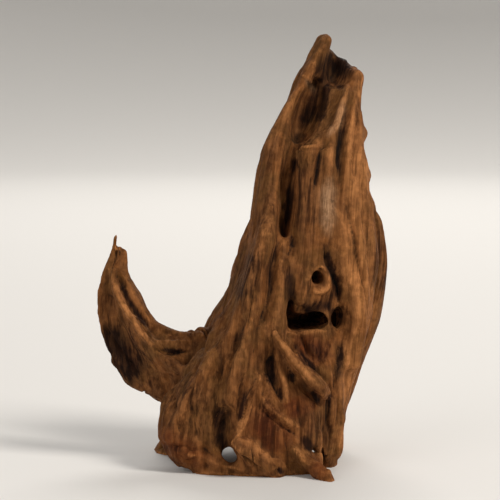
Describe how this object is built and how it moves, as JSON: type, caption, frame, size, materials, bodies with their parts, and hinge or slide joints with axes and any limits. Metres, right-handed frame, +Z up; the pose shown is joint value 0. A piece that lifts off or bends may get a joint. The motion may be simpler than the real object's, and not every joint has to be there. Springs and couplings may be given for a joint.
{
  "type": "aquarium driftwood",
  "caption": "Weathered driftwood piece: a tall fluted spar that leans right, a curved wing at the left, a slotted face and an arched, hollow base.",
  "frame": {"origin": "middle of the bounding box, on the floor plane the feet stand on", "axes": "+Z up, -Y towards the viewer of the pictured face, +X to that viewer's right"},
  "size_m": [0.1331, 0.1027, 0.1926],
  "materials": {
    "wood": "matte, weathered and fibrous"
  },
  "bodies": {
    "root": {"yati_wood": "wood"}
  },
  "joints": []
}
